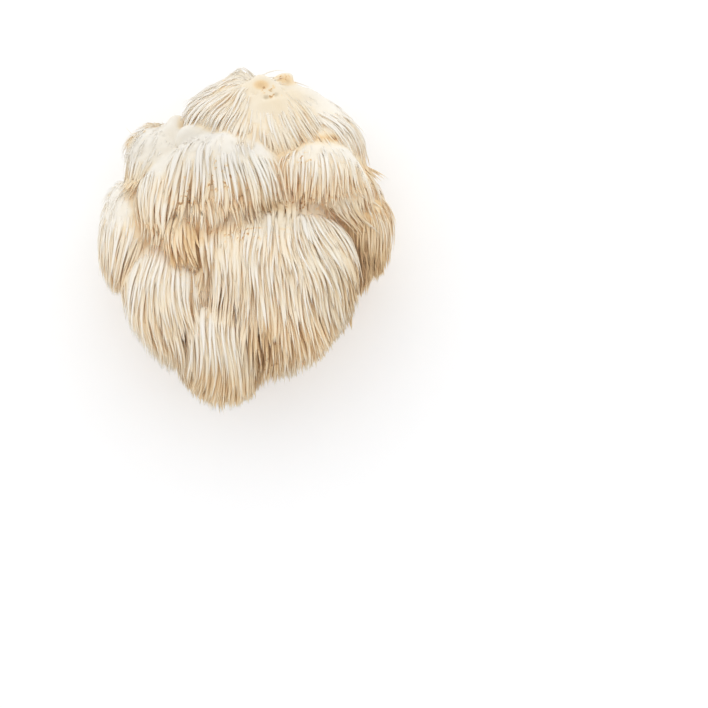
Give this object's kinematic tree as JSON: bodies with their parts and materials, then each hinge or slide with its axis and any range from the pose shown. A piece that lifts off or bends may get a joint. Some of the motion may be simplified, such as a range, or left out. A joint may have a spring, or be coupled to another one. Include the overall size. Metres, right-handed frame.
{
  "type": "lions mane mushroom",
  "caption": "Picked lion's mane mushroom: overlapping rounded lobes whose long pointed spines hang in tiers, cut off flat at the back where it grew.",
  "frame": {"origin": "middle of the flat cut face at the back, which the mushroom rests on", "axes": "+Z points out of the shaggy front, away from the cut face; -Y is the way the spines hung while it grew, so the crown is at +Y; +X is to the right as seen from the front"},
  "size_m": [0.1203, 0.1326, 0.085],
  "materials": {
    "mushroom_flesh": "matte"
  },
  "bodies": {
    "root": {"fruit_body": "mushroom_flesh"}
  },
  "joints": []
}
